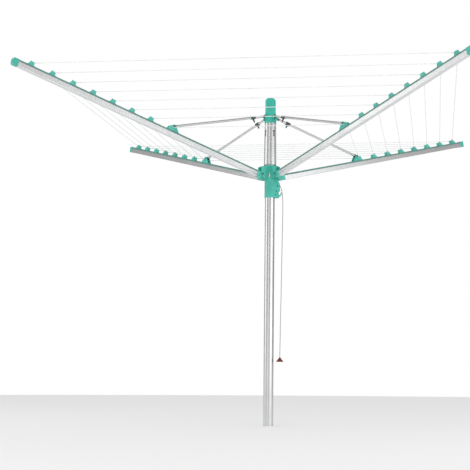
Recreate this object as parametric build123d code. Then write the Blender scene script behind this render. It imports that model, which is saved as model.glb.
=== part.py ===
"""Rotary clothesline: a mast, a sliding hub, four folding arms with their struts, and eight squares of line.

Millimetres, +Z up. The origin is the centre of the mast's lower end. Arm 1 points to 45 degrees (back right),
and the others follow every 90 degrees anticlockwise: 2 back left, 3 front left, 4 front right. The cord's
housing faces +X.
"""

from build123d import *
import math
import os

# ---------------------------------------------------------------- driving dimensions
ARMS = 4
FIRST_AZIMUTH = 45.0

MAST_R = 25.0
MAST_WALL = 2.0
MAST_TOP = 1640.0
GROOVE_W = 6.0
GROOVE_DEPTH = 4.5
SOCKET_DEPTH, DEPTH_MARK_W = 250.0, 1.2

SHELL_BOTTOM, SHELL_TOP = 1340.0, 1557.0
SHELL_R_BOTTOM, SHELL_R_TOP = 32.2, 29.2
SHELL_WALL = 1.8
KEYHOLE_TOP, KEYHOLE_BOTTOM = 1514.0, 1489.0
KEYHOLE_R, KEYHOLE_SLOT_W = 5.0, 6.4

BRACKET_BOTTOM, BRACKET_TOP = SHELL_TOP, 1612.0
BRACKET_R = 30.5
BRACKET_GAP, BRACKET_EAR_T = 11.0, 3.5
STRUT_PIVOT_R, STRUT_PIVOT_Z = 34.5, 1590.0

CAP_R, CAP_TOP = 27.0, 1692.0
CAP_SEAM_Z = 1642.0
CAP_DOME_R = 20.0

HUB_TOP, HUB_BOTTOM = 1336.0, 1276.0
HUB_RING_R = 34.0
EAR_BOTTOM, EAR_TOP, EAR_REACH = 1267.0, 1325.0, 65.0
EAR_GAP, EAR_T = 24.8, 4.6
ARM_PIVOT_R, ARM_PIVOT_Z = 58.0, 1288.0
SLIDE_GAP = 0.3

SLEEVE_BOTTOM, SLEEVE_R = 1170.0, 27.8
HOUSING_X, HOUSING_HALF_W = 48.0, 13.0

ARM_SLOPE = math.degrees(math.atan(0.26))
ARM_W = 24.0
ARM_BOTTOM, ARM_TOP, STRIP_TOP = -22.0, 2.0, 9.0
ARM_WALL = 1.5
ARM_START, ARM_END, ARM_TIP = 31.0, 1383.0, 1413.0

LINE_RADII = [1337.0 - 103.0 * i for i in range(7)] + [610.0]
LINE_R = 1.5
LINE_HEIGHT = 1293.0
GUIDE_H, GUIDE_W = 22.0, 20.0
BORES_MEET, BORE_R = 3.0, 2.2
JOINT_ALONG, JOINT_ABOVE = 556.0, 33.0
JOINT_GAP, JOINT_T = 13.2, 4.6

STRUT_R, STRUT_WALL = 6.0, 1.2
STRUT_TOP_EYE_R, STRUT_TUBE_FROM = 5.5, 20.0
HOOK_AT = 81.0

FOLDED_ANGLE = 86.0
PIN_FIT = 0.05

PULLEY_X, PULLEY_Z, PULLEY_R = 43.0, 1230.0, 9.0
LEVER_X, LEVER_Z = 36.0, 1204.0
AXLE_PLACES = [(PULLEY_X, PULLEY_Z), (LEVER_X, LEVER_Z)]
AXLE_R, AXLE_HEAD_R = 2.5, 3.6
CAVITY_FLOOR, SPRING_TOP, SPRING_TURNS = 1176.0, 1197.0, 7
SCREW_X, SCREW_HEIGHTS, SCREW_R = 33.0, (1184.0, 1254.0), 1.5
HEAD_R, HEAD_T = 2.8, 1.6

CORD_R = 2.0
CORD_ROUTE = [(52.5, 1232.0), (59.0, 1219.0), (64.0, 1196.0), (67.5, 1160.0), (68.0, 1105.0), (57.6, 345.0)]
PULL_X, PULL_TOP, PULL_BOTTOM, PULL_R = 57.6, 348.0, 326.0, 18.0
PULL_BORE = 3.1

# ---------------------------------------------------------------- linkage, worked out from the above
SLOPE = math.radians(ARM_SLOPE)
COS, SIN = math.cos(SLOPE), math.sin(SLOPE)


def joint_point(angle, hub_z):
    """Where the strut meets the arm, as (radius, height), with the arm at this angle in radians."""
    r = ARM_PIVOT_R + JOINT_ALONG * math.cos(angle) - JOINT_ABOVE * math.sin(angle)
    z = hub_z + JOINT_ALONG * math.sin(angle) + JOINT_ABOVE * math.cos(angle)
    return r, z


OPEN_R, OPEN_Z = joint_point(SLOPE, ARM_PIVOT_Z)
STRUT_L = math.hypot(OPEN_R - STRUT_PIVOT_R, STRUT_PIVOT_Z - OPEN_Z)
STRUT_DIP = math.degrees(math.atan2(STRUT_PIVOT_Z - OPEN_Z, OPEN_R - STRUT_PIVOT_R))
FOLDED_R, FOLDED_Z0 = joint_point(math.radians(FOLDED_ANGLE), 0.0)
FOLDED_DROP = math.sqrt(STRUT_L**2 - (FOLDED_R - STRUT_PIVOT_R) ** 2)
FOLDED_DIP = math.degrees(math.atan2(FOLDED_DROP, FOLDED_R - STRUT_PIVOT_R))
HUB_TRAVEL = ARM_PIVOT_Z - (STRUT_PIVOT_Z - FOLDED_DROP - FOLDED_Z0)
ARM_SWING = FOLDED_ANGLE - ARM_SLOPE
STRUT_SWING = FOLDED_DIP - STRUT_DIP


# ---------------------------------------------------------------- helpers
def azimuth(k):
    return FIRST_AZIMUTH + 360.0 / ARMS * k


def around(k, shape):
    """A shape drawn with +X outward, turned to arm k's direction."""
    return Rot(0, 0, azimuth(k)) * shape


def arm_frame(k):
    """+X along arm k from its hub pivot, +Z square to it, upwards."""
    return Rot(0, 0, azimuth(k)) * Location((ARM_PIVOT_R, 0, ARM_PIVOT_Z), (0, -ARM_SLOPE, 0))


def strut_frame(k):
    """+X along strut k from its top pivot, +Z square to it, upwards."""
    return Rot(0, 0, azimuth(k)) * Location((STRUT_PIVOT_R, 0, STRUT_PIVOT_Z), (0, STRUT_DIP, 0))


def plate(points, y0, y1):
    """A plate with this outline in XZ, from y0 to y1."""
    face = Plane.XZ * Polygon(*points, align=None)
    return Pos(0, (y0 + y1) / 2, 0) * extrude(face, (y1 - y0) / 2, both=True)


def block(x0, x1, y0, y1, z0, z1):
    return Pos((x0 + x1) / 2, (y0 + y1) / 2, (z0 + z1) / 2) * Box(x1 - x0, y1 - y0, z1 - z0)


def tube(r_out, r_in, z0, z1):
    return Pos(0, 0, (z0 + z1) / 2) * (Cylinder(r_out, z1 - z0) - Cylinder(r_in, z1 - z0 + 2))


def rod_y(x, z, r, y0, y1):
    """A round bar along Y."""
    return Pos(x, (y0 + y1) / 2, z) * Rot(90, 0, 0) * Cylinder(r, y1 - y0)


def rod_x(r, x0, x1, z=0.0):
    return Pos((x0 + x1) / 2, 0, z) * Rot(0, 90, 0) * Cylinder(r, x1 - x0)


def turned(points):
    """A solid of revolution about Z from an outline in (radius, height)."""
    return revolve(Plane.XZ * Polygon(*points, align=None), Axis.Z)


def headed_pin(x, z, r, y_end, head_r, head_t):
    """A pin along Y with a low head at each end."""
    pin = rod_y(x, z, r, -y_end, y_end)
    for side in (-1, 1):
        lo, hi = sorted((side * y_end, side * (y_end + head_t)))
        pin += rod_y(x, z, head_r, lo, hi)
    return pin


parts = {}


# ---------------------------------------------------------------- mast
def mast_tube():
    """Extruded tube with a groove along +X for the cord and the hub's key, and four keyholes for the hooks.

    A fine turned line marks how deep the mast stands in its ground socket.
    """
    outer = Circle(MAST_R)
    hollow = Circle(MAST_R - MAST_WALL)
    floor_x = MAST_R - GROOVE_DEPTH
    channel = Pos(floor_x + 5 - MAST_WALL, 0) * Rectangle(10, GROOVE_W + 2 * MAST_WALL)
    groove = Pos(floor_x + 5, 0) * Rectangle(10, GROOVE_W)
    section = (outer - (hollow - channel)) - groove
    body = extrude(section, MAST_TOP)
    for k in range(ARMS):
        body -= around(k, keyhole(0, MAST_R + 5))
    return body - tube(MAST_R + 1, MAST_R - 0.5, SOCKET_DEPTH, SOCKET_DEPTH + DEPTH_MARK_W)


def keyhole(x0, x1):
    """The cutter for one keyhole: a round top with a narrower slot below it, cut from x0 to x1."""
    top = rod_x(KEYHOLE_R, x0, x1, KEYHOLE_TOP)
    slot = block(x0, x1, -KEYHOLE_SLOT_W / 2, KEYHOLE_SLOT_W / 2, KEYHOLE_BOTTOM, KEYHOLE_TOP)
    end = rod_x(KEYHOLE_SLOT_W / 2, x0, x1, KEYHOLE_BOTTOM)
    return top + slot + end


def upper_shell():
    """The wider, slightly tapered tube over the mast between the hub and the strut bracket."""
    body = turned(
        [
            (SHELL_R_BOTTOM - SHELL_WALL, SHELL_BOTTOM),
            (SHELL_R_BOTTOM, SHELL_BOTTOM),
            (SHELL_R_TOP, SHELL_TOP),
            (SHELL_R_TOP - SHELL_WALL, SHELL_TOP),
        ]
    )
    for k in range(ARMS):
        body -= around(k, keyhole(10, SHELL_R_BOTTOM + 5))
    return body


def shell_inner_r(z):
    share = (z - SHELL_BOTTOM) / (SHELL_TOP - SHELL_BOTTOM)
    return SHELL_R_BOTTOM + share * (SHELL_R_TOP - SHELL_R_BOTTOM) - SHELL_WALL


def shell_spacers():
    """Two rings that hold the shell on the mast, split at the groove."""
    rings = []
    for z0, z1 in ((1347.0, 1361.0), (1537.0, 1551.0)):
        ring = turned([(MAST_R, z0), (shell_inner_r(z0), z0), (shell_inner_r(z1), z1), (MAST_R, z1)])
        rings.append(ring - block(15, 40, -GROOVE_W / 2, GROOVE_W / 2, z0 - 1, z1 + 1))
    return Compound(rings)


def strut_bracket():
    """The collar that carries the four struts, each between a pair of ears."""
    bead_z = 1594.0
    body = turned(
        [
            (MAST_R, BRACKET_BOTTOM),
            (BRACKET_R - 1, BRACKET_BOTTOM),
            (BRACKET_R, BRACKET_BOTTOM + 1),
            (BRACKET_R, bead_z - 3),
            (BRACKET_R + 1.2, bead_z - 1.5),
            (BRACKET_R + 1.2, bead_z + 1.5),
            (BRACKET_R - 1, bead_z + 4),
            (CAP_R + 1, BRACKET_TOP - 2),
            (CAP_R + 1, BRACKET_TOP),
            (MAST_R, BRACKET_TOP),
        ]
    )
    outline = [(27, 1574), (34, 1576), (39.5, 1582), (40.5, 1592), (37.5, 1598), (27, 1604)]
    slot_floor = STRUT_PIVOT_R - STRUT_TOP_EYE_R - 0.6
    for k in range(ARMS):
        for side in (-1, 1):
            ends = sorted((side * BRACKET_GAP / 2, side * (BRACKET_GAP / 2 + BRACKET_EAR_T)))
            body += around(k, plate(outline, *ends))
        body -= around(k, rod_y(STRUT_PIVOT_R, STRUT_PIVOT_Z, 2.5, -15, 15))
        body -= around(k, block(slot_floor, 60, -BRACKET_GAP / 2, BRACKET_GAP / 2, 1574, 1605))
        body -= around(k, block(slot_floor, 60, -STRUT_R - 0.6, STRUT_R + 0.6, 1550, 1574))
    return body - Pos(0, 0, 1590) * Cylinder(MAST_R, 80)


def bracket_pins():
    end = BRACKET_GAP / 2 + BRACKET_EAR_T
    pin = headed_pin(STRUT_PIVOT_R, STRUT_PIVOT_Z, 2.5, end, 3.8, 1.0)
    return Compound([around(k, pin) for k in range(ARMS)])


def top_cap():
    """The domed cap on the mast, with a seam ring part way up."""
    body = Pos(0, 0, (BRACKET_TOP + CAP_TOP) / 2) * Cylinder(CAP_R, CAP_TOP - BRACKET_TOP)
    body = fillet(body.edges().group_by(Axis.Z)[-1], CAP_DOME_R)
    low, high = CAP_SEAM_Z - 1, CAP_SEAM_Z + 1
    body += turned([(20, low), (CAP_R, low), (CAP_R + 0.7, CAP_SEAM_Z), (CAP_R, high), (20, high)])
    body -= Pos(0, 0, (BRACKET_TOP + MAST_TOP) / 2) * Cylinder(MAST_R, MAST_TOP - BRACKET_TOP)
    roof = CAP_TOP - 6
    return body - Pos(0, 0, (MAST_TOP + roof) / 2) * Cylinder(MAST_R - 6, roof - MAST_TOP)


# ---------------------------------------------------------------- hub
def hub_body():
    """The hub ring with four pairs of ears, and between each two pairs a sunk V and a smaller opening."""
    ring = tube(HUB_RING_R, MAST_R + 2.5, HUB_BOTTOM, HUB_TOP)
    ring = chamfer(ring.edges().group_by(Axis.Z)[-1].sort_by(SortBy.RADIUS)[-1:], 2.5)
    half = EAR_GAP / 2 + EAR_T
    outline = [
        (22, EAR_BOTTOM + 9),
        (34, EAR_BOTTOM),
        (EAR_REACH - 12, EAR_BOTTOM + 2),
        (EAR_REACH, EAR_BOTTOM + 14),
        (EAR_REACH, EAR_TOP - 3),
        (EAR_REACH - 4, EAR_TOP),
        (46, HUB_TOP - 5),
        (22, HUB_TOP - 1),
    ]
    body = ring
    for k in range(ARMS):
        body += around(k, plate(outline, -half, half))
    slot_start = ARM_PIVOT_R - 12.5
    for k in range(ARMS):
        body -= around(k, block(slot_start, 100, -EAR_GAP / 2, EAR_GAP / 2, 1250, 1360))
        body -= around(k, rod_y(ARM_PIVOT_R, ARM_PIVOT_Z, 4, -30, 30))
        for base_w, point_z, start in ((42, 1332, 30.5), (25, 1298, 15)):
            body -= Rot(0, 0, azimuth(k) + 45) * v_cutter(base_w, point_z, start)
    body -= Pos(0, 0, 1300) * Cylinder(MAST_R + 2.5, 200)
    return body - Pos(0, 0, HUB_BOTTOM - 25) * Cylinder(SLEEVE_R, 50)


def v_cutter(base_w, point_z, start):
    """A triangular bar along +X from start, its base under the ears and its point at this height."""
    base_z = EAR_BOTTOM - 5
    face = Plane.YZ * Polygon((-base_w / 2, base_z), (base_w / 2, base_z), (0, point_z), align=None)
    return Pos(start, 0, 0) * extrude(face, 70 - start)


def hub_liner():
    """The plain bearing inside the hub, with the key that runs in the mast's groove."""
    z0, z1 = 1306.0, HUB_TOP - 1
    ring = tube(MAST_R + 2.5, MAST_R + SLIDE_GAP, z0, z1)
    key_half = GROOVE_W / 2 - SLIDE_GAP
    return ring + block(MAST_R - GROOVE_DEPTH + 0.5, MAST_R + 2, -key_half, key_half, z0, z1)


def hub_sleeve():
    """The long sleeve under the hub, open towards the housing for the cord."""
    body = turned(
        [
            (MAST_R + SLIDE_GAP, SLEEVE_BOTTOM),
            (SLEEVE_R - 0.8, SLEEVE_BOTTOM),
            (SLEEVE_R, SLEEVE_BOTTOM + 2),
            (SLEEVE_R, HUB_BOTTOM),
            (MAST_R + SLIDE_GAP, HUB_BOTTOM),
        ]
    )
    return body - block(20, 60, -6, 6, 1240, 1260)


def cord_housing():
    """The housing on the sleeve: two cheeks, notched for a finger, with the pulley and lever between them."""
    outline = [
        (15, SLEEVE_BOTTOM),
        (HOUSING_X - 2, SLEEVE_BOTTOM),
        (HOUSING_X, SLEEVE_BOTTOM + 3),
        (HOUSING_X, 1205),
        (HOUSING_X + 4, 1210),
        (HOUSING_X + 2.5, 1222),
        (HOUSING_X + 2, 1242),
        (HOUSING_X - 2, 1254),
        (40, 1262),
        (36, 1265),
        (15, 1265),
    ]
    left = [(15, -23), (34, -16), (HOUSING_X + 1, -11.5), (HOUSING_X + 5, -8)]
    right = [(x, -y) for x, y in reversed(left)]
    plan = Pos(0, 0, SLEEVE_BOTTOM) * Polygon(*left, *right, align=None)
    body = plate(outline, -24, 24) & extrude(plan, 100)
    body += plate([(27, 1262), (41, 1261), (36, 1272), (27, 1275)], -6, 6)
    body -= rod_y(HOUSING_X + 1, 1194, 8.5, -24, 24)
    body -= block(30.5, 60, -6.6, 6.6, CAVITY_FLOOR, 1246)
    body -= block(20, 40, -6, 6, 1240, 1250)
    pockets = [(x, z, AXLE_R, AXLE_HEAD_R, HOUSING_HALF_W) for x, z in AXLE_PLACES]
    pockets += [(SCREW_X, z, SCREW_R, HEAD_R, HOUSING_HALF_W - HEAD_T) for z in SCREW_HEIGHTS]
    for x, z, hole_r, pocket_r, seat in pockets:
        body -= rod_y(x, z, hole_r, -24, 24)
        for side in (-1, 1):
            body -= rod_y(x, z, pocket_r, *sorted((side * seat, side * 24)))
    return body - Pos(0, 0, 1220) * Cylinder(SLEEVE_R, 120)


def housing_axles():
    """The pulley's axle and the lever's pin."""
    pins = [headed_pin(x, z, AXLE_R, HOUSING_HALF_W, AXLE_HEAD_R, 0.8) for x, z in AXLE_PLACES]
    return Compound(pins)


def housing_screws():
    """Four screws that close the housing's two cheeks, their heads sunk and cross-slotted."""
    screws = []
    for z in SCREW_HEIGHTS:
        for side in (-1, 1):
            inner, seat, face = side * 7.5, side * (HOUSING_HALF_W - HEAD_T), side * HOUSING_HALF_W
            shank = rod_y(SCREW_X, z, SCREW_R, *sorted((inner, seat)))
            head = rod_y(SCREW_X, z, HEAD_R, *sorted((seat, face)))
            slot_y = sorted((face - side * 0.7, face + side))
            cut = block(SCREW_X - 1.9, SCREW_X + 1.9, *slot_y, z - 0.4, z + 0.4)
            cut += block(SCREW_X - 0.4, SCREW_X + 0.4, *slot_y, z - 1.9, z + 1.9)
            screws.append(shank + head - cut)
    return Compound(screws)


def arm_pins():
    """The pins of the four arm pivots, left out between the ears, because this pivot is the open one."""
    pins = []
    inner, outer = EAR_GAP / 2, EAR_GAP / 2 + EAR_T
    for k in range(ARMS):
        for side in (-1, 1):
            stub = rod_y(ARM_PIVOT_R, ARM_PIVOT_Z, 4, *sorted((side * inner, side * outer)))
            head = rod_y(ARM_PIVOT_R, ARM_PIVOT_Z, 5.2, *sorted((side * outer, side * (outer + 1))))
            pins.append(around(k, stub + head))
    return Compound(pins)


def cord_pulley():
    """A grooved wheel with a bored centre."""
    bore, groove_r = AXLE_R + PIN_FIT, PULLEY_R - 2.5
    below = [(bore, -5), (PULLEY_R, -5), (PULLEY_R, -4), (groove_r, -2)]
    above = [(groove_r, 2), (PULLEY_R, 4), (PULLEY_R, 5), (bore, 5)]
    return Pos(PULLEY_X, 0, PULLEY_Z) * Rot(90, 0, 0) * turned(below + above)


def brake_lever():
    """The finger lever: a shoe under the pulley, a boss on its pin and a curved finger outside."""
    shoe_r = PULLEY_R + 0.9
    underside = [(31.5, 1200), (35.5, SPRING_TOP), (41.8, SPRING_TOP), (42.6, 1190), (44, 1181), (49, 1178.5)]
    finger = [(55.5, 1180), (60, 1186), (60.6, 1194), (58.6, 1199), (56.4, 1198.4), (57, 1193)]
    inner_side = [(55.6, 1187.5), (52, 1184.4), (48.5, 1184.4), (46, 1189), (44.5, 1196)]
    shoe = [(42.8, 1203), (41.5, 1208), (47, 1219), (39, 1222), (32, 1209)]
    outline = underside + finger + inner_side + shoe
    body = plate(outline, -6, 6)
    body -= rod_y(PULLEY_X, PULLEY_Z, shoe_r, -10, 10)
    body += rod_y(LEVER_X, LEVER_Z, 5.2, -6, 6)
    return body - rod_y(LEVER_X, LEVER_Z, AXLE_R + PIN_FIT, -10, 10)


def lever_spring():
    """A small coil spring between the housing's floor and the lever's underside."""
    radius, wire_r = 2.2, 0.4
    z0, z1 = CAVITY_FLOOR + wire_r + 0.05, SPRING_TOP - wire_r - 0.05
    path = Helix(pitch=(z1 - z0) / SPRING_TURNS, height=z1 - z0, radius=radius, center=(38.4, 0, z0))
    start = Plane(origin=path @ 0, z_dir=path % 0)
    return sweep(start * Circle(wire_r), path)


# ---------------------------------------------------------------- cord and its pull
def pull_cord():
    """The cord from the pulley to the pull: straight runs joined by arcs as large as they allow."""
    points = [Vector(x, 0, z) for x, z in CORD_ROUTE]
    radii = []
    for before, at, after in zip(points, points[1:], points[2:]):
        turn = math.radians((at - before).get_angle(after - at))
        radii.append(0.45 * min((at - before).length, (after - at).length) / math.tan(turn / 2))
    path = FilletPolyline(*points, radius=radii)
    start = Plane(origin=path @ 0, z_dir=path % 0)
    cord = sweep(start * Circle(CORD_R), path)
    length = path.length
    print("cord radii", [round(r, 1) for r in radii], "length", round(length, 1))
    print("cord volume / (section x length)", round(cord.volume / (math.pi * CORD_R**2 * length), 4))
    return cord


def pull_handle():
    """The conical pull on the cord's end, hollow underneath where the knot sits."""
    body = turned(
        [
            (0, PULL_TOP),
            (3.5, PULL_TOP),
            (5, PULL_TOP - 3),
            (PULL_R, PULL_BOTTOM + 3),
            (PULL_R, PULL_BOTTOM),
            (PULL_R - 3, PULL_BOTTOM),
            (PULL_R - 5, PULL_BOTTOM + 4),
            (5, PULL_BOTTOM + 9),
            (0, PULL_BOTTOM + 9),
        ]
    )
    body -= Pos(0, 0, PULL_TOP) * Cylinder(CORD_R + 0.3, 2 * PULL_BORE)
    knot = Pos(0, 0, PULL_BOTTOM + 5) * Sphere(3.8)
    return Pos(PULL_X, 0, 0) * Compound([body, knot])


# ---------------------------------------------------------------- arms, drawn along +X from the hub pivot
def arm_profile():
    h = ARM_TOP - ARM_BOTTOM
    outer = RectangleRounded(ARM_W, h, 2.0)
    inner = RectangleRounded(ARM_W - 2 * ARM_WALL, h - 2 * ARM_WALL, 1.0)
    section = outer - inner
    for side in (-1, 1):
        section -= Pos(side * ARM_W / 2, -h / 4) * Rectangle(1.0, 1.2)
        section -= Pos(side * ARM_W / 2, h / 4) * Rectangle(1.0, 1.2)
    start = Plane((ARM_START, 0, (ARM_TOP + ARM_BOTTOM) / 2), x_dir=(0, 1, 0), z_dir=(1, 0, 0))
    return extrude(start * section, ARM_END - ARM_START)


def arm_strip():
    """The plastic strip on top of the arm: an upside-down channel."""
    bar = block(ARM_START, ARM_END, -ARM_W / 2, ARM_W / 2, ARM_TOP, STRIP_TOP)
    bar = chamfer(bar.edges().filter_by(Axis.X).group_by(Axis.Z)[-1], 1.5)
    return bar - block(ARM_START - 1, ARM_END + 1, -9.5, 9.5, ARM_TOP - 1, STRIP_TOP - 2.5)


def guide_at(r):
    """Where the line at this radius passes the arm, as (along, above)."""
    z = LINE_HEIGHT + r * SIN / COS - ARM_PIVOT_Z
    x = r - ARM_PIVOT_R
    return x * COS + z * SIN, z * COS - x * SIN


def line_bores(u, v):
    """The two bores of one line, which meet here and leave level, each at 45 degrees to the arm."""
    bores = [
        extrude(Plane(origin=(u, 0, v), z_dir=Vector(-COS, side, SIN)) * Circle(BORE_R), 40)
        for side in (-1, 1)
    ]
    return bores[0] + bores[1] + Pos(u, 0, v) * Sphere(BORE_R)


def line_guides():
    """Seven guides clipped on the strip: a humped block with the line's bores and a short spike on top."""
    guides = []
    peak = STRIP_TOP + GUIDE_H
    hump = [(-12, STRIP_TOP), (-12, peak - 6), (-9, peak - 4), (2, peak - 3.5), (8, peak - 8)]
    outer_side = [(17, STRIP_TOP + 3), (17, STRIP_TOP)]
    spike = [(-1, peak - 6), (2.5, peak + 1), (5, peak), (8, peak - 9)]
    for r in LINE_RADII[:-1]:
        u, v = guide_at(r)
        solid = plate(hump + outer_side, -GUIDE_W / 2, GUIDE_W / 2)
        solid += plate(spike, -3.5, 3.5)
        solid += block(-16, 21, -ARM_W / 2 + 1.5, ARM_W / 2 - 1.5, STRIP_TOP, STRIP_TOP + 1.6)
        solid -= line_bores(BORES_MEET, v)
        guides.append(Pos(u - BORES_MEET, 0, 0) * solid)
    return Compound(guides)


def spigot(x0, x1):
    """The part of an end piece that is pushed inside the arm's profile."""
    inner = ARM_WALL + 0.1
    bar = block(x0, x1, -ARM_W / 2 + inner, ARM_W / 2 - inner, ARM_BOTTOM + inner, ARM_TOP - inner)
    return fillet(bar.edges().filter_by(Axis.X), 1.5)


def arm_end_cap():
    """The plug in the arm's outer end, a little larger than the arm, with chamfered corners."""
    body = block(ARM_END, ARM_TIP, -ARM_W / 2 - 1, ARM_W / 2 + 1, ARM_BOTTOM - 1, STRIP_TOP + 1.5)
    tip = body.faces().sort_by(Axis.X)[-1].edges()
    body = chamfer(tip, 7.0)
    body = fillet(body.edges().filter_by(Axis.X), 3.0)
    return body + spigot(ARM_END - 28, ARM_END + 2)


def arm_hinge_plug():
    """The hinge end of the arm: a rounded block with the pivot bore, and a spigot inside the profile."""
    boss_r = 11.5
    half = ARM_W / 2 - 0.2
    collar = [(0, ARM_BOTTOM), (ARM_START, ARM_BOTTOM), (ARM_START, STRIP_TOP), (0, STRIP_TOP)]
    body = plate(collar + [(-6, 0), (-6, -12)], -half, half) + rod_y(0, -2.5, boss_r, -half, half)
    body = body & block(-40, 60, -30, 30, ARM_BOTTOM, STRIP_TOP)
    body += spigot(ARM_START - 2, ARM_START + 45)
    body -= block(ARM_START + 4, ARM_START + 50, -7.5, 7.5, ARM_BOTTOM + 4.5, ARM_TOP - 4.5)
    return body - rod_y(0, 0, 4 + PIN_FIT, -20, 20)


def strut_joint():
    """The bracket on the arm that takes the strut, with the innermost line's guide on its outer end."""
    u, v = guide_at(LINE_RADII[-1])
    reach = u - JOINT_ALONG
    top, peak = JOINT_ABOVE + 8, STRIP_TOP + GUIDE_H
    eye = [(-29, STRIP_TOP), (-29, STRIP_TOP + 5), (-8, top - 3), (-4, top), (4, top), (8, top - 4)]
    guide = [(reach - 8, peak), (reach + 2, peak), (reach + 13, STRIP_TOP + 2), (reach + 13, STRIP_TOP)]
    outline = eye + guide
    body = block(-31, reach + 15, -ARM_W / 2 + 0.5, ARM_W / 2 - 0.5, STRIP_TOP, STRIP_TOP + 2.4)
    for side in (-1, 1):
        ends = sorted((side * JOINT_GAP / 2, side * (JOINT_GAP / 2 + JOINT_T)))
        body += plate(outline, *ends)
    body -= rod_y(0, JOINT_ABOVE, 3 + PIN_FIT, -20, 20)
    body -= line_bores(reach, v)
    return Pos(JOINT_ALONG, 0, 0) * body


def drying_lines(k):
    """Arm k's half of each of the eight lines on both sides of it, out to halfway to the next arm."""
    lines = []
    start = (ARM_W / 2 + 1) * math.sqrt(2)
    for r in LINE_RADII:
        z = LINE_HEIGHT + r * SIN / COS
        for side in (-1, 1):
            along = Vector(-1, side, 0).normalized()
            base = Vector(r, 0, z) + along * start
            rod = extrude(Plane(origin=base, z_dir=along) * Circle(LINE_R), r / math.sqrt(2) - start)
            lines.append(around(k, rod))
    return Compound(lines)


# ---------------------------------------------------------------- struts, drawn along +X from the top pivot
def strut_tube():
    return rod_x(STRUT_R, STRUT_TUBE_FROM, STRUT_L - 15) - rod_x(STRUT_R - STRUT_WALL, 0, STRUT_L)


def strut_ends():
    """The strut's moulded ends, each with a plug inside the tube, and the pin of the joint on the arm."""
    eye_half = JOINT_GAP / 2 - 0.4
    plug_r = STRUT_R - STRUT_WALL - 0.05
    top_half = BRACKET_GAP / 2 - 0.4
    top = rod_y(0, 0, STRUT_TOP_EYE_R, -top_half, top_half)
    top += block(0, STRUT_TUBE_FROM, -top_half, top_half, -4.5, 4.5)
    top += rod_x(plug_r, STRUT_TUBE_FROM - 5, STRUT_TUBE_FROM + 27)
    top -= rod_y(0, 0, 2.5 + PIN_FIT, -20, 20)
    low = rod_y(STRUT_L, 0, 7.4, -eye_half, eye_half)
    low += block(STRUT_L - 15, STRUT_L, -eye_half, eye_half, -5.5, 5.5)
    low += rod_x(plug_r, STRUT_L - 42, STRUT_L - 10)
    low -= rod_y(STRUT_L, 0, 3, -20, 20)
    pin = headed_pin(STRUT_L, 0, 3, JOINT_GAP / 2 + JOINT_T + 0.3, 4.5, 1.4)
    return Compound([top, low, pin])


def hanger_hook():
    """The clip on the strut with its finger, which drops into the mast's keyhole when the dryer is folded."""
    body = block(-13, 13, -8, 8, -7.2, 8)
    body = fillet(body.edges().filter_by(Axis.X), 3.0)
    body = chamfer(body.faces().sort_by(Axis.X)[-1].edges(), 1.0)
    finger = [(-6, -7), (3, -7), (-2, -17), (-5, -25), (-8, -25.5), (-9, -18)]
    body += plate(finger, -2.4, 2.4)
    return Pos(HOOK_AT, 0, 0) * (body - rod_x(STRUT_R, -30, 30))


# ---------------------------------------------------------------- assembly
def build():
    parts["mast_tube"] = mast_tube()
    parts["upper_shell"] = upper_shell()
    parts["shell_spacers"] = shell_spacers()
    parts["strut_bracket"] = strut_bracket()
    parts["bracket_pins"] = bracket_pins()
    parts["top_cap"] = top_cap()
    parts["pull_cord"] = pull_cord()
    parts["pull_handle"] = pull_handle()
    parts["hub_body"] = hub_body()
    parts["hub_liner"] = hub_liner()
    parts["hub_sleeve"] = hub_sleeve()
    parts["cord_housing"] = cord_housing()
    parts["housing_axles"] = housing_axles()
    parts["housing_screws"] = housing_screws()
    parts["arm_pins"] = arm_pins()
    parts["cord_pulley"] = cord_pulley()
    parts["brake_lever"] = brake_lever()
    parts["lever_spring"] = lever_spring()
    on_arm = {
        "arm_profile": arm_profile(),
        "arm_strip": arm_strip(),
        "line_guides": line_guides(),
        "arm_end_cap": arm_end_cap(),
        "arm_hinge_plug": arm_hinge_plug(),
        "strut_joint": strut_joint(),
    }
    on_strut = {"strut_tube": strut_tube(), "strut_ends": strut_ends(), "hanger_hook": hanger_hook()}
    for k in range(ARMS):
        for name, shape in on_arm.items():
            parts[f"{name}_{k + 1}"] = arm_frame(k) * shape
        for name, shape in on_strut.items():
            parts[f"{name}_{k + 1}"] = strut_frame(k) * shape
        parts[f"drying_lines_{k + 1}"] = drying_lines(k)


build()
print(f"hub travel {HUB_TRAVEL:.2f} mm, arm swing {ARM_SWING:.3f} deg, strut swing {STRUT_SWING:.3f} deg")
print(f"strut length {STRUT_L:.2f} mm, dip {STRUT_DIP:.3f} deg, joint at r {OPEN_R:.2f} z {OPEN_Z:.2f} mm")

os.makedirs("parts", exist_ok=True)
for name, shape in parts.items():
    export_step(shape, f"parts/{name}.step")
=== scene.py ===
"""Looks of the rotary clothesline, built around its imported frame.

Metres, +Z up, origin at the mast's lower end.
"""

import math

import bmesh
import bpy
from mathutils import Matrix, Vector


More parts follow.
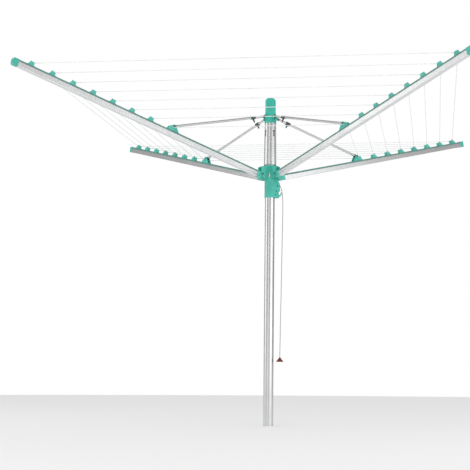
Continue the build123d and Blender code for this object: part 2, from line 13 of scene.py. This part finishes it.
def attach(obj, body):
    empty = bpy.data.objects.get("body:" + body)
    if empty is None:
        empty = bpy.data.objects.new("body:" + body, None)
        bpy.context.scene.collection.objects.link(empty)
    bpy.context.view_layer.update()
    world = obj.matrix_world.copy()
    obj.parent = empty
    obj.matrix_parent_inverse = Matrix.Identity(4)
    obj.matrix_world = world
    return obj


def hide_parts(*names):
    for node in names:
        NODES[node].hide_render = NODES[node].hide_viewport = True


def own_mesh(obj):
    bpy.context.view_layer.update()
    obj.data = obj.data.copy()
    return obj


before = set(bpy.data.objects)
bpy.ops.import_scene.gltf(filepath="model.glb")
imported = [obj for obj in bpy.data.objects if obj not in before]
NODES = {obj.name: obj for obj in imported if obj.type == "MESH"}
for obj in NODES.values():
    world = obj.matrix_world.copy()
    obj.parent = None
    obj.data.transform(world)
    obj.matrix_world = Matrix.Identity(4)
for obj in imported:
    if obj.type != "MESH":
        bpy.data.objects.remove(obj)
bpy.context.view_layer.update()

# The arms: SLOPE is how far they rise when open.
ARMS = 4
SLOPE = math.atan(0.26)
COS, SIN = math.cos(SLOPE), math.sin(SLOPE)

# The drying lines: the radius of each square's corner, and where the guides' slope meets the mast's axis.
LINE_HEIGHT, LINE_R = 1.293, 0.0015
LINE_RADII = [1.337 - 0.103 * i for i in range(7)] + [0.610]
LINE_RUNS, LINE_SIDES = 12, 10

# The pull cord: X and Z of its route in the plane Y = 0, and one more point near the top of its long run.
CORD_R = 0.002
CORD_ROUTE = [
    (0.0525, 1.232),
    (0.059, 1.219),
    (0.064, 1.196),
    (0.0675, 1.160),
    (0.068, 1.105),
    (0.0576, 0.345),
]
CORD_STRAIGHT_FROM = (0.0674, 1.050)
CORD_RING_GAP, CORD_SIDES = 0.0011, 16
STRANDS, STRAND_TURN, STRAND_RELIEF = 4, 0.55, 0.00022
PULL_X, PULL_TOP, PULL_BOTTOM = 0.0576, 0.348, 0.326

# Rounded edges: their width on the moulded pieces and on the hooks, the angle within which faces count as
# flat and are joined, and the angle from which an edge is rounded.
ROUNDED, HOOK_ROUNDED = 0.0006, 0.0005
FLAT_WITHIN, SHARP_FROM = math.radians(0.6), math.radians(32)


def arm_yaw(k):
    """The direction of arm k, counted from 0, about the mast."""
    return math.radians(45 + 90 * k)


# ---------------------------------------------------------------- camera, light and floor
def camera():
    """The view from low in front; yaw is from +Y towards +X, and roll is about the line of sight."""
    cam = bpy.data.cameras.new("camera")
    cam.lens = 88.48
    cam.sensor_width = 36.0
    cam.shift_x, cam.shift_y = -0.15, 0.15
    cam.clip_end = 100.0
    obj = bpy.data.objects.new("camera", cam)
    bpy.context.scene.collection.objects.link(obj)
    obj.location = (0.8523, -5.8534, 0.2561)
    yaw, pitch, roll = (math.radians(a) for a in (-6.471, 3.48, 0.342))
    forward = Vector((math.sin(yaw) * math.cos(pitch), math.cos(yaw) * math.cos(pitch), math.sin(pitch)))
    level_right = Vector((math.cos(yaw), -math.sin(yaw), 0))
    level_up = level_right.cross(forward)
    right = level_right * math.cos(roll) + level_up * math.sin(roll)
    up = level_up * math.cos(roll) - level_right * math.sin(roll)
    axes = Matrix((right, up, -forward)).transposed()
    obj.rotation_euler = axes.to_euler()
    bpy.context.scene.camera = obj


def softbox(name, place, target, size, power):
    """A rectangular area light that faces its target."""
    light = bpy.data.lights.new(name, "AREA")
    light.shape = "RECTANGLE"
    light.size, light.size_y = size
    light.energy = power
    obj = bpy.data.objects.new(name, light)
    bpy.context.scene.collection.objects.link(obj)
    obj.location = place
    obj.rotation_euler = (Vector(target) - Vector(place)).to_track_quat("-Z", "Y").to_euler()


def studio():
    """A white surround with three soft panels.

    Only the camera sees plain white. Other rays see a grey that brightens upwards. What shines mirrors a
    darker grey than the one that lights the object, so the panels show on it as bands.
    """
    scene = bpy.context.scene
    scene.view_settings.view_transform = "Standard"
    world = bpy.data.worlds.new("studio")
    scene.world = world
    world.use_nodes = True
    nodes, links = world.node_tree.nodes, world.node_tree.links
    background = nodes["Background"]
    where = nodes.new("ShaderNodeTexCoord")
    split = nodes.new("ShaderNodeSeparateXYZ")
    height = nodes.new("ShaderNodeMapRange")
    height.inputs["From Min"].default_value = -1.0
    links.new(where.outputs["Generated"], split.inputs[0])
    links.new(split.outputs["Z"], height.inputs["Value"])
    rays = nodes.new("ShaderNodeLightPath")

    def gradient(low, high):
        """Grey that goes from low to high a little below and above the horizon."""
        ramp = nodes.new("ShaderNodeValToRGB")
        ramp.color_ramp.elements[0].position = 0.42
        ramp.color_ramp.elements[0].color = (low, low, low, 1)
        ramp.color_ramp.elements[1].position = 0.60
        ramp.color_ramp.elements[1].color = (high, high, high, 1)
        links.new(height.outputs["Result"], ramp.inputs["Fac"])
        return ramp.outputs["Color"]

    def choose(factor, first):
        """A mix of the first colour and B, which the caller sets, by the factor."""
        mix = nodes.new("ShaderNodeMix")
        mix.data_type = "RGBA"
        links.new(factor, mix.inputs["Factor"])
        links.new(first, mix.inputs["A"])
        return mix

    shiny = choose(rays.outputs["Is Glossy Ray"], gradient(0.30, 0.86))
    links.new(gradient(0.14, 0.42), shiny.inputs["B"])
    seen = choose(rays.outputs["Is Camera Ray"], shiny.outputs["Result"])
    seen.inputs["B"].default_value = (1, 1, 1, 1)
    links.new(seen.outputs["Result"], background.inputs["Color"])
    softbox("right_panel", (3.97, -2.11, 1.35), (0, 0, 1.35), (4.6, 2.4), 44)
    softbox("front_strip", (-0.88, -4.5, 1.6), (0, 0, 1.3), (1.6, 3.4), 15)
    softbox("left_panel", (-4.4, -0.94, 1.7), (0, 0, 1.5), (2.5, 2.8), 28)


def floor():
    """A plain pale disc under the object."""
    mesh = bpy.data.meshes.new("floor")
    build = bmesh.new()
    bmesh.ops.create_circle(build, cap_ends=True, segments=96, radius=9.0)
    build.to_mesh(mesh)
    build.free()
    obj = bpy.data.objects.new("floor", mesh)
    bpy.context.scene.collection.objects.link(obj)
    material = bpy.data.materials.new("floor")
    material.use_nodes = True
    shader = material.node_tree.nodes["Principled BSDF"]
    shader.inputs["Base Color"].default_value = (0.90, 0.90, 0.90, 1)
    shader.inputs["Roughness"].default_value = 0.9
    mesh.materials.append(material)


# ---------------------------------------------------------------- materials
class Shader:
    """A small helper to write a node material: nodes by type, links by socket name."""

    def __init__(self, name):
        self.material = bpy.data.materials.new(name)
        self.material.use_nodes = True
        self.tree = self.material.node_tree
        self.bsdf = self.tree.nodes["Principled BSDF"]

    def node(self, kind, **values):
        made = self.tree.nodes.new("ShaderNode" + kind)
        for key, value in values.items():
            if hasattr(made, key):
                setattr(made, key, value)
            else:
                made.inputs[key.replace("_", " ")].default_value = value
        return made

    def link(self, out, into):
        self.tree.links.new(out, into)

    def noise(self, vector, scale, detail=3.0, roughness=0.5):
        made = self.node("TexNoise", Scale=scale, Detail=detail, Roughness=roughness)
        self.link(vector, made.inputs["Vector"])
        return made.outputs["Fac"]

    def ramp(self, value, low, high, start=0.0, end=1.0):
        made = self.node("MapRange")
        made.inputs["From Min"].default_value = start
        made.inputs["From Max"].default_value = end
        made.inputs["To Min"].default_value = low
        made.inputs["To Max"].default_value = high
        self.link(value, made.inputs["Value"])
        return made.outputs["Result"]

    def blend(self, factor, first, second):
        made = self.tree.nodes.new("ShaderNodeMix")
        made.data_type = "RGBA"
        made.inputs["A"].default_value = (*first, 1)
        made.inputs["B"].default_value = (*second, 1)
        self.link(factor, made.inputs["Factor"])
        return made.outputs["Result"]

    def bump(self, height, strength, distance):
        made = self.node("Bump", Strength=strength, Distance=distance)
        self.link(height, made.inputs["Height"])
        self.link(made.outputs["Normal"], self.bsdf.inputs["Normal"])

    def place(self):
        return self.node("TexCoord").outputs["Object"]


def brushed(name, colour, tilt, yaw=0.0):
    """Drawn aluminium with fine streaks along the extrusion: +X turned by tilt and then by yaw."""
    s = Shader(name)
    turn_yaw = s.node("VectorRotate", rotation_type="Z_AXIS", Angle=-yaw)
    turn_tilt = s.node("VectorRotate", rotation_type="Y_AXIS", Angle=tilt)
    stretch = s.node("Mapping", vector_type="POINT")
    stretch.inputs["Scale"].default_value = (0.8, 160, 160)
    s.link(s.place(), turn_yaw.inputs["Vector"])
    s.link(turn_yaw.outputs[0], turn_tilt.inputs["Vector"])
    s.link(turn_tilt.outputs[0], stretch.inputs["Vector"])
    streaks = s.noise(stretch.outputs[0], 1.0, 4.0, 0.6)
    patches = s.noise(s.place(), 9.0, 3.0)
    s.link(s.ramp(streaks, 0.27, 0.31, 0.3, 0.7), s.bsdf.inputs["Roughness"])
    deep = tuple(c * 0.93 for c in colour)
    s.link(s.blend(s.ramp(patches, 0.0, 1.0, 0.35, 0.65), deep, colour), s.bsdf.inputs["Base Color"])
    s.bsdf.inputs["Metallic"].default_value = 1.0
    return s.material


def moulded(name, colour, roughness=(0.36, 0.5), edge_highlight=0.10):
    """Moulded plastic: a fine spark-eroded grain, faint flow marks, and a painted highlight that makes the
    edges a little lighter.
    """
    s = Shader(name)
    place = s.place()
    grain = s.noise(place, 2600.0, 2.0)
    flow = s.noise(place, 14.0, 4.0, 0.6)
    darker = tuple(c * 0.84 for c in colour)
    lighter = tuple(min(1.0, c * 1.1 + 0.012) for c in colour)
    base = s.blend(s.ramp(flow, 0.0, 1.0, 0.35, 0.65), darker, lighter)
    # Painted highlight: convex edges, found by pointiness, are blended towards a paler green as if they
    # caught the light.
    pointy = s.node("NewGeometry").outputs["Pointiness"]
    edge = s.ramp(pointy, 0.0, edge_highlight, 0.52, 0.6)
    mix = s.tree.nodes.new("ShaderNodeMix")
    mix.data_type = "RGBA"
    s.link(edge, mix.inputs["Factor"])
    s.link(base, mix.inputs["A"])
    mix.inputs["B"].default_value = (*(0.5 * c + 0.5 for c in colour), 1)
    s.link(mix.outputs["Result"], s.bsdf.inputs["Base Color"])
    s.link(s.ramp(flow, *roughness, 0.3, 0.7), s.bsdf.inputs["Roughness"])
    s.bsdf.inputs["Specular IOR Level"].default_value = 0.45
    s.bump(grain, 0.25, 0.0001)
    return s.material


def plain_metal(name, colour, roughness):
    """Bright or darkened steel with a soft mottle."""
    s = Shader(name)
    mottle = s.noise(s.place(), 160.0, 4.0, 0.6)
    darker = tuple(c * 0.85 for c in colour)
    s.link(s.blend(s.ramp(mottle, 0.0, 1.0, 0.3, 0.7), darker, colour), s.bsdf.inputs["Base Color"])
    s.link(s.ramp(mottle, *roughness, 0.3, 0.7), s.bsdf.inputs["Roughness"])
    s.bsdf.inputs["Metallic"].default_value = 1.0
    s.bump(mottle, 0.05, 0.0002)
    return s.material


def covered_line(name, colour):
    """The smooth cover of the drying line, dusty in places."""
    s = Shader(name)
    dust = s.noise(s.place(), 30.0, 3.0)
    dusty = tuple(c * 0.88 for c in colour)
    s.link(s.blend(s.ramp(dust, 0.0, 1.0, 0.4, 0.7), colour, dusty), s.bsdf.inputs["Base Color"])
    s.link(s.ramp(dust, 0.34, 0.5, 0.3, 0.7), s.bsdf.inputs["Roughness"])
    s.bump(dust, 0.05, 0.0002)
    return s.material


def braid(name, colour):
    """Braided cord: light yarn with darker valleys; the strands themselves are in the mesh."""
    s = Shader(name)
    fibre = s.noise(s.place(), 2200.0, 3.0, 0.7)
    valleys = tuple(c * 0.72 for c in colour)
    s.link(s.blend(s.ramp(fibre, 0.0, 1.0, 0.3, 0.7), valleys, colour), s.bsdf.inputs["Base Color"])
    s.bsdf.inputs["Roughness"].default_value = 0.85
    s.bsdf.inputs["Sheen Weight"].default_value = 0.3
    s.bump(fibre, 0.4, 0.0002)
    return s.material


GREEN = (0.038, 0.500, 0.395)
ALUMINIUM = (0.80, 0.805, 0.81)
material = {
    "mast": brushed("mast_aluminium", ALUMINIUM, tilt=math.radians(-90)),
    "green": moulded("green_plastic", GREEN),
    "strip": moulded("strip_plastic", (0.07, 0.26, 0.215), roughness=(0.42, 0.55)),
    "dark": moulded("dark_plastic", (0.022, 0.055, 0.050), edge_highlight=0.05),
    "strut": plain_metal("strut_steel", (0.74, 0.74, 0.735), roughness=(0.34, 0.46)),
    "pin": plain_metal("pin_steel", (0.16, 0.23, 0.22), roughness=(0.40, 0.55)),
    "line": covered_line("line_cover", (0.93, 0.94, 0.95)),
    "cord": braid("cord_braid", (0.42, 0.43, 0.43)),
    "red": moulded("pull_plastic", (0.20, 0.030, 0.028), edge_highlight=0.05),
}
for k in range(ARMS):
    material[f"arm_{k + 1}"] = brushed(f"arm_aluminium_{k + 1}", ALUMINIUM, tilt=SLOPE, yaw=arm_yaw(k))


# ---------------------------------------------------------------- mesh helpers
def new_piece(name, build, look, body):
    """A smooth-shaded object from the mesh under construction, which rides on a body."""
    mesh = bpy.data.meshes.new(name)
    build.normal_update()
    build.to_mesh(mesh)
    build.free()
    obj = bpy.data.objects.new(name, mesh)
    bpy.context.scene.collection.objects.link(obj)
    mesh.materials.append(material[look])
    mesh.shade_smooth()
    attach(obj, body)
    return obj


def join_rings(build, low, high):
    """A band of faces between two rings with the same number of corners."""
    sides = len(low)
    for j in range(sides):
        build.faces.new((low[j], low[(j + 1) % sides], high[(j + 1) % sides], high[j]))


def sweep(build, points, radius_at, sides):
    """A closed tube along points; radius_at(i, j) gives the radius at ring i and corner j."""
    up = Vector((0, 0, 1))
    rings = []
    normal = None
    for i, point in enumerate(points):
        ahead = points[min(i + 1, len(points) - 1)] - points[max(i - 1, 0)]
        tangent = ahead.normalized()
        if normal is None:
            normal = tangent.orthogonal() if abs(tangent.dot(up)) > 0.95 else tangent.cross(up)
        normal = (normal - tangent * normal.dot(tangent)).normalized()
        side = tangent.cross(normal)
        ring = []
        for j in range(sides):
            angle = 2 * math.pi * j / sides
            offset = normal * math.cos(angle) + side * math.sin(angle)
            ring.append(build.verts.new(point + offset * radius_at(i, j)))
        rings.append(ring)
    for low, high in zip(rings, rings[1:]):
        join_rings(build, low, high)
    build.faces.new(list(reversed(rings[0])))
    build.faces.new(rings[-1])
    bmesh.ops.recalc_face_normals(build, faces=build.faces)


def spline_points(route, resolution):
    """Points along the route's NURBS spline, whose control points are the route's own."""
    curve = bpy.data.curves.new("route", "CURVE")
    curve.dimensions = "3D"
    curve.resolution_u = resolution
    spline = curve.splines.new("NURBS")
    spline.points.add(len(route) - 1)
    for point, place in zip(spline.points, route):
        point.co = (*place, 1)
    spline.order_u = 3
    spline.use_endpoint_u = True
    holder = bpy.data.objects.new("route", curve)
    mesh = bpy.data.meshes.new_from_object(holder)
    points = [v.co.copy() for v in mesh.vertices]
    bpy.data.objects.remove(holder)
    bpy.data.curves.remove(curve)
    bpy.data.meshes.remove(mesh)
    return points


def soften(node, width):
    """Joins a CAD node's flat faces and rounds its edges, as moulding leaves them."""
    obj = NODES[node]
    flat = obj.modifiers.new("flat_faces", "DECIMATE")
    flat.decimate_type = "DISSOLVE"
    flat.angle_limit = FLAT_WITHIN
    bevel = obj.modifiers.new("round_edges", "BEVEL")
    bevel.width = width
    bevel.segments = 2
    bevel.limit_method = "ANGLE"
    bevel.angle_limit = SHARP_FROM
    bevel.harden_normals = False


def look(node, key, rounded=0.0):
    """Gives a CAD node its material and, where asked, rounded edges."""
    mesh = NODES[node].data
    mesh.materials.clear()
    mesh.materials.append(material[key])
    if rounded:
        soften(node, rounded)


# ---------------------------------------------------------------- the CAD nodes that stay
def dress_frame():
    """Every CAD node that stays gets its look; the lines, the cord and the pull are made anew below."""
    for node in ("mast_tube", "upper_shell"):
        look(node, "mast")
    for node in ("strut_bracket", "top_cap", "hub_body", "hub_sleeve", "cord_housing", "brake_lever"):
        look(node, "green", rounded=ROUNDED)
    for node in ("cord_pulley", "shell_spacers", "hub_liner"):
        look(node, "dark")
    for node in ("bracket_pins", "housing_axles", "housing_screws", "arm_pins", "lever_spring"):
        look(node, "pin")
    for k in range(1, ARMS + 1):
        look(f"arm_profile_{k}", f"arm_{k}")
        look(f"arm_strip_{k}", "strip")
        for base in ("line_guides", "arm_end_cap", "arm_hinge_plug", "strut_joint"):
            look(f"{base}_{k}", "green", rounded=ROUNDED)
        look(f"strut_tube_{k}", "strut")
        look(f"strut_ends_{k}", "dark")
        look(f"hanger_hook_{k}", "dark", rounded=HOOK_ROUNDED)


def drying_lines():
    """Each arm carries its half of every line on both sides, so the halves meet midway between the arms."""
    for k in range(ARMS):
        yaw = arm_yaw(k)
        out = Vector((math.cos(yaw), math.sin(yaw), 0))
        for i, r in enumerate(LINE_RADII):
            z = LINE_HEIGHT + r * SIN / COS
            centre = out * r + Vector((0, 0, z))
            for side, label in ((-1, "r"), (1, "l")):
                across = Vector((-math.sin(yaw), math.cos(yaw), 0)) * side
                along = (across - out).normalized()
                length = r / math.sqrt(2)
                points = [centre + along * (length * t / LINE_RUNS) for t in range(LINE_RUNS + 1)]
                build = bmesh.new()
                sweep(build, points, lambda i, j: LINE_R, LINE_SIDES)
                name = f"line_{k + 1}{label}_{i + 1}"
                piece = new_piece(name, build, "line", f"arm_{k + 1}")
                if i == 0 and label == "r":
                    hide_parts(f"drying_lines_{k + 1}")
                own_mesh(piece)


# ---------------------------------------------------------------- cord and pull
def pull_cord():
    """The braided cord down to the pull, with its strands in relief; also gives its centreline and length."""
    route = [(x, 0, z) for x, z in CORD_ROUTE[:-1] + [CORD_STRAIGHT_FROM] + CORD_ROUTE[-1:]]
    centre = spline_points(route, 120)
    points = [centre[0]]
    for before, after in zip(centre, centre[1:]):
        gap = (after - before).length
        count = max(1, round(gap / CORD_RING_GAP))
        points += [before.lerp(after, n / count) for n in range(1, count + 1)]

    def radius(i, j):
        angle = 2 * math.pi * j / CORD_SIDES
        left = math.cos(STRANDS * angle + STRAND_TURN * i)
        right = math.cos(STRANDS * angle - STRAND_TURN * i)
        return CORD_R - STRAND_RELIEF + STRAND_RELIEF * max(left, right)

    build = bmesh.new()
    sweep(build, points, radius, CORD_SIDES)
    piece = new_piece("pull_cord_braid", build, "cord", "mast")
    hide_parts("pull_cord")
    length = sum((b - a).length for a, b in zip(centre, centre[1:]))
    return piece, centre, length


def pull_handle():
    """The pull: a cone with ribs, a rounded rim and a hollow below.

    The outline goes down the outside and up the inside: radius, and height as a share of the whole.
    """
    height = PULL_TOP - PULL_BOTTOM
    outline = [
        (0.0024, 1.00),
        (0.0036, 1.00),
        (0.0048, 0.94),
        (0.0052, 0.86),
        (0.0075, 0.72),
        (0.0115, 0.46),
        (0.0158, 0.22),
        (0.0176, 0.13),
        (0.0180, 0.07),
        (0.0177, 0.02),
        (0.0169, 0.00),
        (0.0158, 0.01),
        (0.0150, 0.05),
        (0.0120, 0.22),
        (0.0070, 0.36),
        (0.0034, 0.40),
        (0.0024, 0.42),
    ]
    sides, ribs, rib_height = 96, 12, 0.0005
    ribbed_rings = range(4, 7)
    build = bmesh.new()
    rings = []
    for i, (r, share) in enumerate(outline):
        ring = []
        for j in range(sides):
            angle = 2 * math.pi * j / sides
            rib = rib_height * max(0.0, math.cos(ribs * angle)) if i in ribbed_rings else 0.0
            x = (r + rib) * math.cos(angle) + PULL_X
            y = (r + rib) * math.sin(angle)
            ring.append(build.verts.new((x, y, PULL_BOTTOM + share * height)))
        rings.append(ring)
    for low, high in zip(rings, rings[1:] + rings[:1]):
        join_rings(build, low, high)
    bmesh.ops.recalc_face_normals(build, faces=build.faces)
    piece = new_piece("pull_cone", build, "red", "mast")
    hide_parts("pull_handle")
    return piece


def knot():
    """The cord's stretch through the pull, and its knot in the hollow: a trefoil drawn thin and tight."""
    steps = 97
    wide, high, thick = 0.00085, 0.0012, 0.0016
    middle = PULL_BOTTOM + 0.0051
    build = bmesh.new()
    points = []
    for n in range(steps):
        t = 2 * math.pi * n / steps
        x = math.sin(t) + 2 * math.sin(2 * t)
        y = math.cos(t) - 2 * math.cos(2 * t)
        z = -math.sin(3 * t)
        points.append(Vector((PULL_X + x * wide, y * wide, middle + z * high)))
    sweep(build, points, lambda i, j: thick, 12)
    heights = (PULL_BOTTOM + 0.0052, PULL_BOTTOM + 0.012, PULL_TOP - 0.0012)
    tail = [Vector((PULL_X, 0, z)) for z in heights]
    sweep(build, tail, lambda i, j: CORD_R, CORD_SIDES)
    return new_piece("pull_knot", build, "cord", "mast")


camera()
studio()
floor()
dress_frame()
drying_lines()
cord, cord_path, cord_length = pull_cord()
cone, tied = pull_handle(), knot()
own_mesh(cord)
